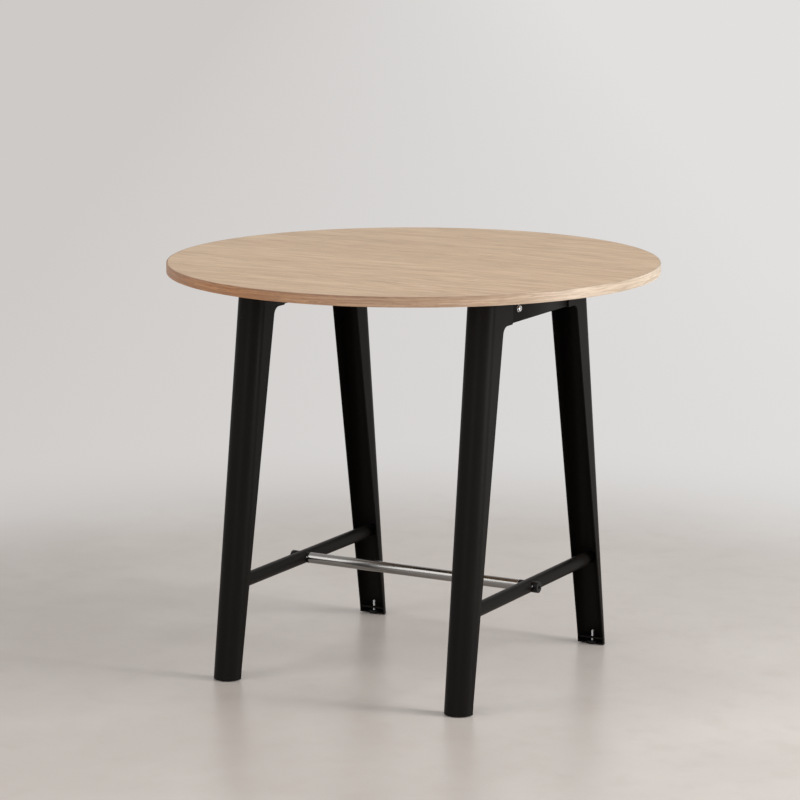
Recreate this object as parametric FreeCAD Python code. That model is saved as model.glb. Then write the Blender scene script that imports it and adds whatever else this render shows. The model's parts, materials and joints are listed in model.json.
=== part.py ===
"""Standing meeting table: a round oak top on two steel leg frames joined by a foot bar.

Millimetres.  Z is up and the floor is Z = 0.  The origin lies on the floor under the centre of
the top.  X runs along the foot bar, from the left frame to the right frame.  Y runs along the
cross tubes, from the front legs (-Y) to the rear legs (+Y).

Every leg is a folded steel channel.  Its rounded nose faces out and its open side faces the
other leg of the same frame.  Heights that are measured on a leg start at the leg's foot, which
the levelling glides hold a little off the floor.
"""
import FreeCAD, Part
import math
import os

Vector = FreeCAD.Vector

# ------------------------------------------------------------------------ driving sizes
# Every threaded joint, at its radius.
THREAD_GAP = 0.05

# Round top: a board with veneer on both faces and a solid lipping round its rim.
TOP_DIAMETER = 1100.0
TOP_THICKNESS = 22.0
VENEER_THICKNESS = 0.6
LIPPING_WIDTH = 3.0
LIPPING_TOP_RADIUS = 2.0
LIPPING_UNDER_RADIUS = 0.5
GLUE_LINE = 0.1

# Legs: sizes at the foot and at the head, along the leg's height.
LEG_LIFT = 2.0
LEG_HEIGHT = 900.0
LEG_WIDTH = 66.2
LEG_SHEET = 3.0
LEG_FOOT_X = 291.7
LEG_HEAD_X = 284.9
NOSE_FOOT_Y = 361.0
NOSE_HEAD_Y = 243.7
EDGE_FOOT_Y = 328.6
EDGE_HEAD_Y = 165.2
EAR_HEIGHT = 80.0
EAR_TIP_Y = 137.0
EAR_CORNER_RADIUS = 20.0
EAR_TIP_RADIUS = 3.0

# Top beams: channels that open downwards, one between the ears of each frame's legs.
BEAM_LENGTH = 300.0
BEAM_HEIGHT = 78.4
BEAM_SHEET = 2.5
BEAM_BEND_RADIUS = 4.0
EAR_GAP = 0.2

# Head brackets: a plate across each leg's head, with two wings inside the beam's end.
BRACKET_PLATE = 4.0
BRACKET_SHEET = 3.0
WING_LENGTH = 64.0
WING_INSET = 4.0
WING_GAP = 0.2

# Bolts through the beams and the brackets' wings (M8).
BOLT_RADIUS = 4.0
BOLT_HOLE_GAP = 0.25
BOLT_INSET = 45.0
BOLT_DROP = 49.4
BOLT_HEAD_RADIUS = 7.0
BOLT_HEAD_HEIGHT = 4.4
BOLT_HEAD_ROUNDING = 2.4
BOLT_SOCKET_FLATS = 5.0
BOLT_SOCKET_DEPTH = 2.8
BOLT_TAIL = 1.5
WASHER_RADIUS = 8.2
WASHER_THICKNESS = 1.6
NUT_FLATS = 13.0
NUT_HEIGHT = 6.5
SPACER_WALL = 2.5

# Screws through the beams' crowns into the top.
SCREW_PITCH = 60.0
SCREWS_PER_BEAM = 3
SCREW_RADIUS = 2.5
SCREW_BITE = 15.0
SCREW_HEAD_RADIUS = 4.8
SCREW_HEAD_HEIGHT = 2.6
SCREW_HOLE_GAP = 0.4
SCREW_WASHER_RADIUS = 7.0
SCREW_WASHER_THICKNESS = 1.0

# Cross tubes, one along Y between the legs of each frame.
TUBE_RADIUS = 15.5
TUBE_WALL = 2.0
TUBE_HEIGHT = 208.4
TUBE_END_GAP = 0.2

# Foot bar along X: a steel tube between two sockets, held by a long screw at each end.
BAR_RADIUS = 12.5
BAR_WALL = 1.5
SOCKET_RADIUS = 12.5
SOCKET_REACH = 20.0
SOCKET_HOLE_GAP = 0.15
INSERT_LENGTH = 24.0
INSERT_GAP = 0.05
END_SCREW_RADIUS = 5.0
END_SCREW_BORE_GAP = 0.3
END_SCREW_BITE = 18.0
END_SCREW_HEAD_RADIUS = 12.6
END_SCREW_HEAD_HEIGHT = 8.4
END_SCREW_CHAMFER = 1.0
END_SCREW_SOCKET_FLATS = 8.0
END_SCREW_SOCKET_DEPTH = 5.0
LOCK_SCREW_RADIUS = 1.9
LOCK_SCREW_OFFSET = 16.2
LOCK_SCREW_TILT = 16.0
LOCK_SCREW_PROUD = 0.3
LOCK_SCREW_GAP = 0.1

# Foot plates inside the legs, the levelling glides that screw into them (M8), and the sole plates
# that close the legs' feet round the glides' pads.
PLATE_HEIGHT = 12.6
PLATE_THICKNESS = 3.6
PLATE_SETBACK = 0.5
PLATE_SIDE_GAP = 0.2
SOLE_THICKNESS = 2.5
SOLE_PAD_GAP = 0.8
STUD_RADIUS = 4.0
STUD_TOP = 29.5
STUD_SETBACK = 11.5
STUD_SOCKET_FLATS = 4.0
STUD_SOCKET_DEPTH = 4.0
STUD_CHAMFER = 0.6
PAD_RADIUS = 13.0
PAD_HEIGHT = 7.6
PAD_FLOOR = 2.6
PAD_TOP_RADIUS = 1.5
PAD_UNDER_CHAMFER = 0.8

# ------------------------------------------------------------------------ derived places
UNDERSIDE_Z = LEG_LIFT + LEG_HEIGHT
TOP_Z = UNDERSIDE_Z + TOP_THICKNESS
TOP_RADIUS = TOP_DIAMETER / 2
NOSE_RADIUS = LEG_WIDTH / 2
CHANNEL_HALF_WIDTH = NOSE_RADIUS - LEG_SHEET
TUBE_Z = LEG_LIFT + TUBE_HEIGHT
BOLT_Y = BEAM_LENGTH / 2 - BOLT_INSET
BOLT_Z = UNDERSIDE_Z - BOLT_DROP
BEAM_Z = UNDERSIDE_Z - BEAM_HEIGHT
CROWN_Z = UNDERSIDE_Z - BEAM_SHEET

SIDES = {"left": -1, "right": 1}
ENDS = {"front": -1, "rear": 1}
AXIS_X = Vector(1, 0, 0)
AXIS_Y = Vector(0, 1, 0)
AXIS_Z = Vector(0, 0, 1)
SLACK = 5.0


def along_leg(foot_value, head_value, z):
    """A size that changes evenly from a leg's foot to its head, at the height z."""
    return foot_value + (head_value - foot_value) * (z - LEG_LIFT) / LEG_HEIGHT


def leg_x(z):
    return along_leg(LEG_FOOT_X, LEG_HEAD_X, z)


def edge_y(z):
    return along_leg(EDGE_FOOT_Y, EDGE_HEAD_Y, z)


# Frame parts stand upright between flanges that lean a little, so they are narrower by the lean.
BEAM_X = leg_x((BEAM_Z + UNDERSIDE_Z) / 2)
HEAD_LEAN = abs(leg_x(BEAM_Z) - leg_x(UNDERSIDE_Z)) / 2
BEAM_HALF_WIDTH = CHANNEL_HALF_WIDTH - EAR_GAP - HEAD_LEAN
WING_HALF_WIDTH = BEAM_HALF_WIDTH - BEAM_SHEET - WING_GAP
TUBE_X = leg_x(TUBE_Z)
GLIDE_X = leg_x(LEG_LIFT + PLATE_HEIGHT)
GLIDE_Y = edge_y(LEG_LIFT + PLATE_HEIGHT) + STUD_SETBACK


# ------------------------------------------------------------------------ small shapes
def box(x, y, z):
    """A box from three (low, high) pairs, in any order."""
    low = Vector(min(x), min(y), min(z))
    return Part.makeBox(abs(x[1] - x[0]), abs(y[1] - y[0]), abs(z[1] - z[0]), low)


def rod(start, axis, radius, length):
    """A cylinder from start along axis.  A negative length runs the other way."""
    direction = axis if length > 0 else axis * -1
    return Part.makeCylinder(radius, abs(length), start, direction)


def ring(start, axis, outer, inner, length):
    return rod(start, axis, outer, length).cut(rod(start, axis, inner, length))


def hexagon(start, axis, flats, length):
    """A hexagonal prism from start along axis, measured across its flats."""
    corner = flats / math.sqrt(3)
    side = Vector(0, 0, 1) if abs(axis.z) < 0.5 else Vector(1, 0, 0)
    across = axis.cross(side)
    turns = [math.radians(60 * k) for k in range(7)]
    points = [start + side * (corner * math.cos(t)) + across * (corner * math.sin(t)) for t in turns]
    return Part.Face(Part.makePolygon(points)).extrude(axis * length)


def arc_wire(points, arcs):
    """A closed outline through points.  arcs gives the middle point of each arc by its start."""
    edges = []
    for k, start in enumerate(points):
        end = points[(k + 1) % len(points)]
        if k in arcs:
            edges.append(Part.Arc(start, arcs[k], end).toShape())
        else:
            edges.append(Part.LineSegment(start, end).toShape())
    return Part.Wire(edges)


def fillet_corner(before, corner, after, radius):
    """Start, middle and end of an arc that rounds the corner of two lines, in one plane."""
    back = (before - corner).normalize()
    on = (after - corner).normalize()
    half = back.getAngle(on) / 2
    reach = radius / math.tan(half)
    bisector = (back + on).normalize()
    centre = corner + bisector * (radius / math.sin(half))
    return corner + back * reach, centre - bisector * radius, corner + on * reach


def circles_at(shape, radius, z):
    """The circular edges of a shape that have this radius and lie at this height."""
    found = []
    for edge in shape.Edges:
        curve = edge.Curve
        if curve.TypeId == "Part::GeomCircle" and abs(curve.Radius - radius) < 0.001:
            if abs(curve.Center.z - z) < 0.001:
                found.append(edge)
    return found


def save(name, *solids):
    """Write one sub-part, which may be a group of separate solids."""
    shape = solids[0] if len(solids) == 1 else Part.makeCompound(list(solids))
    if not shape.isValid():
        raise ValueError(name + " is not a valid shape")
    shape.exportStep("parts/" + name + ".step")


# ------------------------------------------------------------------------ round top
def screw_places():
    """Where the screws of both beams stand, as (x, y) pairs."""
    middle = (SCREWS_PER_BEAM - 1) / 2
    return [(side * BEAM_X, (k - middle) * SCREW_PITCH)
            for side in SIDES.values() for k in range(SCREWS_PER_BEAM)]


def pilot_holes():
    radius = SCREW_RADIUS + THREAD_GAP
    length = SCREW_BITE + THREAD_GAP
    return [rod(Vector(x, y, UNDERSIDE_Z), AXIS_Z, radius, length) for x, y in screw_places()]


def make_top():
    board_radius = TOP_RADIUS - LIPPING_WIDTH - GLUE_LINE
    holes = Part.makeCompound(pilot_holes())
    board_z = UNDERSIDE_Z + VENEER_THICKNESS
    board_thickness = TOP_THICKNESS - 2 * VENEER_THICKNESS
    board = rod(Vector(0, 0, board_z), AXIS_Z, board_radius, board_thickness)
    underside = rod(Vector(0, 0, UNDERSIDE_Z), AXIS_Z, board_radius, VENEER_THICKNESS)
    face = rod(Vector(0, 0, TOP_Z - VENEER_THICKNESS), AXIS_Z, board_radius, VENEER_THICKNESS)
    save("top_board", board.cut(holes))
    save("underside_veneer", underside.cut(holes))
    save("top_veneer", face)

    low = Vector(0, 0, UNDERSIDE_Z)
    lipping = ring(low, AXIS_Z, TOP_RADIUS, TOP_RADIUS - LIPPING_WIDTH, TOP_THICKNESS)
    lipping = lipping.makeFillet(LIPPING_TOP_RADIUS, circles_at(lipping, TOP_RADIUS, TOP_Z))
    lipping = lipping.makeFillet(LIPPING_UNDER_RADIUS, circles_at(lipping, TOP_RADIUS, UNDERSIDE_Z))
    save("edge_lipping", lipping)


# ------------------------------------------------------------------------ legs
def leaning(section, side, end):
    """Carry a level section from a leg's foot to its head, along the leg's lean."""
    lean = Vector(side * (LEG_HEAD_X - LEG_FOOT_X), end * (NOSE_HEAD_Y - NOSE_FOOT_Y), LEG_HEIGHT)
    return section.extrude(lean)


def nose_points(side, end, half_width, depth):
    """Flank, nose and flank of a leg's section at its foot, and the nose's middle point."""
    x = side * LEG_FOOT_X
    nose_y = end * (NOSE_FOOT_Y - NOSE_RADIUS)
    inner_y = end * (NOSE_FOOT_Y - depth)
    crown = Vector(x, nose_y + end * half_width, LEG_LIFT)
    points = [Vector(x - half_width, inner_y, LEG_LIFT), Vector(x - half_width, nose_y, LEG_LIFT),
              Vector(x + half_width, nose_y, LEG_LIFT), Vector(x + half_width, inner_y, LEG_LIFT)]
    return points, crown


def leg_side_outline(end):
    """The leg seen along X: free edge, rounded corner, ear, head, and a straight back."""
    foot = Vector(0, end * EDGE_FOOT_Y, LEG_LIFT)
    ear_z = UNDERSIDE_Z - EAR_HEIGHT
    corner = Vector(0, end * edge_y(ear_z), ear_z)
    tip = Vector(0, end * EAR_TIP_Y, ear_z)
    tip_top = Vector(0, end * EAR_TIP_Y, UNDERSIDE_Z)
    back_y = end * (NOSE_FOOT_Y + SLACK)
    corner_start, corner_mid, corner_end = fillet_corner(foot, corner, tip, EAR_CORNER_RADIUS)
    tip_start, tip_mid, tip_end = fillet_corner(corner, tip, tip_top, EAR_TIP_RADIUS)
    points = [foot, corner_start, corner_end, tip_start, tip_end, tip_top,
              Vector(0, back_y, UNDERSIDE_Z), Vector(0, back_y, LEG_LIFT)]
    return arc_wire(points, {1: corner_mid, 3: tip_mid})


def make_leg(side, end):
    depth = NOSE_HEAD_Y - EAR_TIP_Y + SLACK
    outer, outer_crown = nose_points(side, end, NOSE_RADIUS, depth)
    inner, inner_crown = nose_points(side, end, CHANNEL_HALF_WIDTH, depth)
    section = Part.Face(arc_wire(outer + inner[::-1], {1: outer_crown, 5: inner_crown}))
    outline = Part.Face(leg_side_outline(end))
    outline.translate(Vector(side * LEG_FOOT_X - LEG_WIDTH, 0, 0))
    return leaning(section, side, end).common(outline.extrude(AXIS_X * (2 * LEG_WIDTH)))


def leg_cavity(side, end, gap):
    """The space inside a leg and on towards the other leg, smaller than the sheet by a gap."""
    points, crown = nose_points(side, end, CHANNEL_HALF_WIDTH - gap, NOSE_FOOT_Y)
    return leaning(Part.Face(arc_wire(points, {1: crown})), side, end)


# ------------------------------------------------------------------------ leg heads and beams
def bolt_cuts(side):
    radius = BOLT_RADIUS + BOLT_HOLE_GAP
    start_x = side * BEAM_X - LEG_WIDTH
    starts = [Vector(start_x, end * BOLT_Y, BOLT_Z) for end in ENDS.values()]
    return Part.makeCompound([rod(start, AXIS_X, radius, 2 * LEG_WIDTH) for start in starts])


def make_beam(side):
    x = side * BEAM_X
    half = BEAM_LENGTH / 2
    inner = BEAM_HALF_WIDTH - BEAM_SHEET
    beam = box((x - BEAM_HALF_WIDTH, x + BEAM_HALF_WIDTH), (-half, half), (BEAM_Z, UNDERSIDE_Z))
    shoulders = [edge for edge in beam.Edges
                 if abs(edge.CenterOfMass.z - UNDERSIDE_Z) < 0.001 and abs(edge.CenterOfMass.y) < 0.001]
    beam = beam.makeFillet(BEAM_BEND_RADIUS, shoulders)
    beam = beam.cut(box((x - inner, x + inner), (-half - SLACK, half + SLACK), (BEAM_Z - SLACK, CROWN_Z)))
    screw_radius = SCREW_RADIUS + SCREW_HOLE_GAP
    for screw_x, screw_y in screw_places():
        beam = beam.cut(rod(Vector(screw_x, screw_y, CROWN_Z - SLACK), AXIS_Z, screw_radius, 2 * SLACK))
    return beam.cut(bolt_cuts(side))


def make_head_bracket(side, end):
    x = side * BEAM_X
    start = end * BEAM_LENGTH / 2
    bracket = box((x - BEAM_HALF_WIDTH, x + BEAM_HALF_WIDTH), (start, start + end * BRACKET_PLATE),
                  (BEAM_Z, UNDERSIDE_Z))
    for flank in (-1, 1):
        outer = x + flank * WING_HALF_WIDTH
        wing = box((outer, outer - flank * BRACKET_SHEET), (start - end * WING_LENGTH, start),
                   (BEAM_Z + WING_INSET, CROWN_Z - WING_INSET))
        bracket = bracket.fuse(wing)
    return bracket.removeSplitter().cut(bolt_cuts(side))


def make_beam_fasteners():
    bolts, washers, nuts, spacers = [], [], [], []
    spacer_length = 2 * (WING_HALF_WIDTH - BRACKET_SHEET)
    hole_radius = BOLT_RADIUS + BOLT_HOLE_GAP
    for side in SIDES.values():
        outward = AXIS_X * side
        for end in ENDS.values():
            middle = Vector(side * BEAM_X, end * BOLT_Y, BOLT_Z)
            seat = middle + outward * (BEAM_HALF_WIDTH + WASHER_THICKNESS)
            nut_seat = middle - outward * (BEAM_HALF_WIDTH + WASHER_THICKNESS)
            tail = nut_seat - outward * (NUT_HEIGHT + BOLT_TAIL)
            head = rod(seat, outward, BOLT_HEAD_RADIUS, BOLT_HEAD_HEIGHT)
            face = seat + outward * BOLT_HEAD_HEIGHT
            rim = [edge for edge in head.Edges if edge.Curve.TypeId == "Part::GeomCircle"
                   and abs(edge.Curve.Center.x - face.x) < 0.001]
            head = head.makeFillet(BOLT_HEAD_ROUNDING, rim)
            socket = hexagon(face, outward * -1, BOLT_SOCKET_FLATS, BOLT_SOCKET_DEPTH)
            shank = rod(tail, outward, BOLT_RADIUS, (seat - tail).Length)
            bolts.append(head.cut(socket).fuse(shank).removeSplitter())
            washers.append(ring(seat, outward, WASHER_RADIUS, hole_radius, -WASHER_THICKNESS))
            washers.append(ring(nut_seat, outward, WASHER_RADIUS, hole_radius, WASHER_THICKNESS))
            nut = hexagon(nut_seat, outward * -1, NUT_FLATS, NUT_HEIGHT)
            nuts.append(nut.cut(rod(nut_seat, outward, BOLT_RADIUS + THREAD_GAP, -NUT_HEIGHT)))
            spacers.append(ring(middle - outward * (spacer_length / 2), outward,
                                hole_radius + SPACER_WALL, hole_radius, spacer_length))
    save("beam_bolts", *bolts)
    save("beam_washers", *washers)
    save("beam_nuts", *nuts)
    save("bolt_spacers", *spacers)


def make_top_fasteners():
    screws, washers = [], []
    for x, y in screw_places():
        seat = Vector(x, y, CROWN_Z - SCREW_WASHER_THICKNESS)
        head = rod(seat, AXIS_Z, SCREW_HEAD_RADIUS, -SCREW_HEAD_HEIGHT)
        shank = rod(seat, AXIS_Z, SCREW_RADIUS, UNDERSIDE_Z + SCREW_BITE - seat.z)
        screws.append(head.fuse(shank).removeSplitter())
        washers.append(ring(seat, AXIS_Z, SCREW_WASHER_RADIUS, SCREW_RADIUS + SCREW_HOLE_GAP,
                            SCREW_WASHER_THICKNESS))
    save("top_screws", *screws)
    save("top_washers", *washers)


# ------------------------------------------------------------------------ cross tubes, foot bar
def lock_screw_places(side):
    """Seat and direction of the two lock screws of one socket, on opposite sides of the tube."""
    tilt = math.radians(LOCK_SCREW_TILT)
    centre = Vector(side * TUBE_X, 0, TUBE_Z)
    places = []
    for turn in (-1, 1):
        direction = Vector(0, turn * math.cos(tilt), math.sin(tilt))
        places.append((centre - AXIS_X * (turn * LOCK_SCREW_OFFSET), direction))
    return places


def lock_screw_holes(side):
    radius = LOCK_SCREW_RADIUS + LOCK_SCREW_GAP
    return Part.makeCompound([rod(seat, direction, radius, SOCKET_RADIUS + SLACK)
                              for seat, direction in lock_screw_places(side)])


def make_cross_tube(side):
    """A tube along Y whose ends are shaped to the inside of the two leg noses."""
    middle = Vector(side * TUBE_X, 0, TUBE_Z)
    halves = [rod(middle, AXIS_Y, TUBE_RADIUS, end * NOSE_FOOT_Y).common(leg_cavity(side, end, TUBE_END_GAP))
              for end in ENDS.values()]
    tube = halves[0].fuse(halves[1]).removeSplitter()
    tube = tube.cut(rod(middle - AXIS_Y * NOSE_FOOT_Y, AXIS_Y, TUBE_RADIUS - TUBE_WALL, 2 * NOSE_FOOT_Y))
    hole_start = middle - AXIS_X * (TUBE_RADIUS + SLACK)
    tube = tube.cut(rod(hole_start, AXIS_X, SOCKET_RADIUS + SOCKET_HOLE_GAP, 2 * (TUBE_RADIUS + SLACK)))
    return tube.cut(lock_screw_holes(side))


def make_socket(side):
    start = Vector(side * TUBE_X - SOCKET_REACH, 0, TUBE_Z)
    bore = END_SCREW_RADIUS + END_SCREW_BORE_GAP
    return ring(start, AXIS_X, SOCKET_RADIUS, bore, 2 * SOCKET_REACH).cut(lock_screw_holes(side))


def make_end_screw(side):
    outward = AXIS_X * side
    seat = Vector(side * (TUBE_X + SOCKET_REACH), 0, TUBE_Z)
    face = seat + outward * END_SCREW_HEAD_HEIGHT
    head = rod(seat, outward, END_SCREW_HEAD_RADIUS, END_SCREW_HEAD_HEIGHT)
    rims = [edge for edge in head.Edges if edge.Curve.TypeId == "Part::GeomCircle"]
    head = head.makeChamfer(END_SCREW_CHAMFER, rims)
    head = head.cut(hexagon(face, outward * -1, END_SCREW_SOCKET_FLATS, END_SCREW_SOCKET_DEPTH))
    shank = rod(seat, outward * -1, END_SCREW_RADIUS, 2 * SOCKET_REACH + END_SCREW_BITE)
    return head.fuse(shank).removeSplitter()


def make_foot_bar():
    bar_end = TUBE_X - SOCKET_REACH
    start = Vector(-bar_end, 0, TUBE_Z)
    save("foot_bar", ring(start, AXIS_X, BAR_RADIUS, BAR_RADIUS - BAR_WALL, 2 * bar_end))
    insert_radius = BAR_RADIUS - BAR_WALL - INSERT_GAP
    thread_radius = END_SCREW_RADIUS + THREAD_GAP
    save("bar_inserts", *[ring(Vector(side * bar_end, 0, TUBE_Z), AXIS_X, insert_radius, thread_radius,
                               -side * INSERT_LENGTH) for side in SIDES.values()])


def make_lock_screws():
    reach = SOCKET_RADIUS + LOCK_SCREW_PROUD
    foot = END_SCREW_RADIUS + LOCK_SCREW_GAP
    screws = [rod(seat + direction * foot, direction, LOCK_SCREW_RADIUS, reach - foot)
              for side in SIDES.values() for seat, direction in lock_screw_places(side)]
    save("bar_lock_screws", *screws)


# ------------------------------------------------------------------------ feet
def make_foot_plate(side, end):
    low = LEG_LIFT + PLATE_HEIGHT
    front = end * (edge_y(low) + PLATE_SETBACK)
    slab = box((side * GLIDE_X - LEG_WIDTH, side * GLIDE_X + LEG_WIDTH), (front, end * NOSE_FOOT_Y),
               (low, low + PLATE_THICKNESS))
    plate = slab.common(leg_cavity(side, end, PLATE_SIDE_GAP))
    hole_start = Vector(side * GLIDE_X, end * GLIDE_Y, low - SLACK)
    return plate.cut(rod(hole_start, AXIS_Z, STUD_RADIUS + THREAD_GAP, PLATE_THICKNESS + 2 * SLACK))


def make_sole_plate(side, end):
    """A plate between the flanks, level with the leg's foot, with a notch that the pad passes."""
    front = end * (EDGE_FOOT_Y + PLATE_SETBACK)
    slab = box((side * GLIDE_X - LEG_WIDTH, side * GLIDE_X + LEG_WIDTH), (front, end * NOSE_FOOT_Y),
               (LEG_LIFT, LEG_LIFT + SOLE_THICKNESS))
    plate = slab.common(leg_cavity(side, end, PLATE_SIDE_GAP))
    notch_start = Vector(side * GLIDE_X, end * GLIDE_Y, LEG_LIFT - SLACK)
    return plate.cut(rod(notch_start, AXIS_Z, PAD_RADIUS + SOLE_PAD_GAP, SOLE_THICKNESS + 2 * SLACK))


def make_stud(side, end):
    foot = Vector(side * GLIDE_X, end * GLIDE_Y, PAD_FLOOR + THREAD_GAP)
    top_z = LEG_LIFT + STUD_TOP
    stud = rod(foot, AXIS_Z, STUD_RADIUS, top_z - foot.z)
    stud = stud.makeChamfer(STUD_CHAMFER, circles_at(stud, STUD_RADIUS, top_z))
    top = Vector(foot.x, foot.y, top_z)
    return stud.cut(hexagon(top, AXIS_Z * -1, STUD_SOCKET_FLATS, STUD_SOCKET_DEPTH))


def make_pad(side, end):
    foot = Vector(side * GLIDE_X, end * GLIDE_Y, 0)
    pad = rod(foot, AXIS_Z, PAD_RADIUS, PAD_HEIGHT)
    pad = pad.makeFillet(PAD_TOP_RADIUS, circles_at(pad, PAD_RADIUS, PAD_HEIGHT))
    pad = pad.makeChamfer(PAD_UNDER_CHAMFER, circles_at(pad, PAD_RADIUS, 0))
    return pad.cut(rod(foot + AXIS_Z * PAD_FLOOR, AXIS_Z, STUD_RADIUS + THREAD_GAP, PAD_HEIGHT))


# ------------------------------------------------------------------------ the whole table
os.makedirs("parts", exist_ok=True)
make_top()
make_beam_fasteners()
make_top_fasteners()
make_foot_bar()
make_lock_screws()
for side_name, side_sign in SIDES.items():
    save("top_beam_" + side_name, make_beam(side_sign))
    save("cross_tube_" + side_name, make_cross_tube(side_sign))
    save("bar_socket_" + side_name, make_socket(side_sign))
    save("bar_end_screw_" + side_name, make_end_screw(side_sign))
    for end_name, end_sign in ENDS.items():
        corner_name = end_name + "_" + side_name
        save("leg_" + corner_name, make_leg(side_sign, end_sign))
        save("head_bracket_" + corner_name, make_head_bracket(side_sign, end_sign))
        save("foot_plate_" + corner_name, make_foot_plate(side_sign, end_sign))
        save("sole_plate_" + corner_name, make_sole_plate(side_sign, end_sign))
        save("glide_stud_" + corner_name, make_stud(side_sign, end_sign))
        save("glide_pad_" + corner_name, make_pad(side_sign, end_sign))
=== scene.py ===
import json
import math

import bpy
import numpy as np
from mathutils import Euler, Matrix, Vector


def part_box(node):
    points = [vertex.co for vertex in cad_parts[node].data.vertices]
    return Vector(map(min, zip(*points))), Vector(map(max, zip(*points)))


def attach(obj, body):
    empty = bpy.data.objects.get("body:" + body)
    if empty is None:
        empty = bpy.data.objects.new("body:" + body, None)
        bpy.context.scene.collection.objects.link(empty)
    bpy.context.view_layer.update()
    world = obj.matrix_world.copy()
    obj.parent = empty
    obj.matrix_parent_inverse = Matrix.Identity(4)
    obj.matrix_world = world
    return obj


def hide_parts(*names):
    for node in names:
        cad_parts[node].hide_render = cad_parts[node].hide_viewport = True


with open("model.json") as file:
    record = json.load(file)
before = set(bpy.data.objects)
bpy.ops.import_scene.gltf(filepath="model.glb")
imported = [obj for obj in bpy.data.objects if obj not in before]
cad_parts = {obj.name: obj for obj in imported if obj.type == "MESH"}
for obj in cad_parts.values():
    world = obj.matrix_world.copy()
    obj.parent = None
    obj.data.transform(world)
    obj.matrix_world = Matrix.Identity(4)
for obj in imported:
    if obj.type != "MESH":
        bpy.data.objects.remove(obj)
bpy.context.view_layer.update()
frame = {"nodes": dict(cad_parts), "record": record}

# The round standing table's visible surfaces, finishes, lamps and camera.  Metres, Z up, the floor
# at Z = 0.  X runs along the foot bar, Y along the cross tubes, and the front legs stand at -Y.
# Every new surface is worked out as whole arrays: a grid of two parameters, or a profile that is
# turned about an axis or carried along a path.

SIDES = {"left": -1, "right": 1}
ENDS = {"front": -1, "rear": 1}
UP, DOWN = (0, 0, 1), (0, 0, -1)
MM = 0.001
CREASE_DEGREES = 38.0  # a sharper fold is shaded as an edge

# ---- sizes, in millimetres
TOP_THICKNESS = 22.0
TOP_ARRIS = 2.0
UNDER_ARRIS = 0.5
LIPPING_WIDTH = 3.0
VENEER_THICKNESS = 0.6
VENEER_RINGS = [0.02, 0.3, 0.6, 0.85, 0.97, 1.0]  # shares of its radius
GLUE_LINE = 0.1
ARRIS_SHADE_LOW, ARRIS_SHADE_HIGH = 3.5, 1.5  # a painted shade line, this far below the upper face
LIT_RIM_DIRECTION = (0.96, 0.28, 0.0)  # where the rim is painted palest: painted light on the side the window lamp lights
RIM_SEGMENTS = 384

LEG_LIFT = 2.0
LEG_HEIGHT = 900.0
LEG_RADIUS = 33.1
LEG_SHEET = 3.0
LEG_FOOT_X, LEG_HEAD_X = 291.7, 284.9
NOSE_FOOT_Y, NOSE_HEAD_Y = 361.0, 243.7
EDGE_FOOT_Y, EDGE_HEAD_Y = 328.6, 165.2
EAR_HEIGHT = 80.0
EAR_TIP_Y = 137.0
EAR_CORNER_RADIUS = 20.0
EAR_TIP_RADIUS = 3.0
EDGE_ROWS, HEAD_ROWS, NOSE_POINTS = 40, 12, 33
SHEET_EDGE = 0.7  # the rounding of a sheet's free edge
SHEET_EDGE_STEPS = 4

BEAM_LENGTH = 300.0
BEAM_HEIGHT = 78.4
BEAM_SHEET = 2.5
BEAM_BEND = 4.0
BEAM_SIDE_GAP = 0.2

TUBE_RADIUS = 15.5
TUBE_WALL = 2.0
TUBE_END_GAP = 0.2
TUBE_END_TRIM, TUBE_END_INSET = [0, 0.4, 0.8], [0.5, 0.15, 0]  # the end's rounding
WELD_SIZE = 1.9
WELD_RIPPLE, WELD_RIPPLES = 0.22, 14
WELD_DRIFT, WELD_DRIFTS = 0.12, 3

BAR_RADIUS = 12.5
BAR_WALL = 1.5
BAR_EDGE, BAR_BORE_EDGE, SOCKET_EDGE = 0.35, 0.2, 0.45
SOCKET_REACH = 20.0
SOCKET_BORE = 5.3
TUBE_HEIGHT = 208.4
END_SCREW_SHANK = 5.0
END_SCREW_HEX, END_SCREW_HEX_DEPTH = 4.0, 4.5
END_SCREW_HEAD, END_SCREW_HEIGHT = 12.6, 8.4
END_SCREW_ROUNDING = 1.0
END_SCREW_BITE = 18.0
END_SCREW_THREAD = (-38, -16)
LOCK_SCREW_RADIUS, LOCK_SCREW_HEIGHT = 1.9, 2.2
LOCK_SCREW_HEX, LOCK_SCREW_HEX_DEPTH = 0.65, 0.9
LOCK_SCREW_RISE = 0.3  # its face above the socket
LOCK_SCREW_STEP = 0.05  # from its head's to its shank's radius
LOCK_SCREW_GAP = 0.1  # from its end to the end screw
LOCK_SCREW_ROUNDING, LOCK_SCREW_TIP = 0.3, 0.4
LOCK_SCREW_OFFSET = 16.2
LOCK_SCREW_TILT = 16.0

BOLT_RADIUS = 4.0
BOLT_Y = 105.0
BOLT_DROP = 49.4
BOLT_HEAD_RADIUS, BOLT_HEAD_HEIGHT, BOLT_HEAD_ROUNDING = 7.0, 4.4, 2.4
BOLT_HEX, BOLT_HEX_DEPTH = 2.5, 2.8
WASHER_RADIUS, WASHER_BORE = 8.2, 4.25
WASHER_THICKNESS, WASHER_EDGE = 1.6, 0.3
NUT_HEX, NUT_HEIGHT = 6.5, 6.5
NUT_BORE_GAP = 0.05
NUT_MOUTH = 0.6
NUT_CHAMFER = 0.15
NUT_CHAMFER_ROWS = [0, 0.15, 0.3, 0.45, 0.62]
BOLT_TAIL = 1.5
BOLT_THREAD = (0.3, 14)  # from its tail

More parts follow.
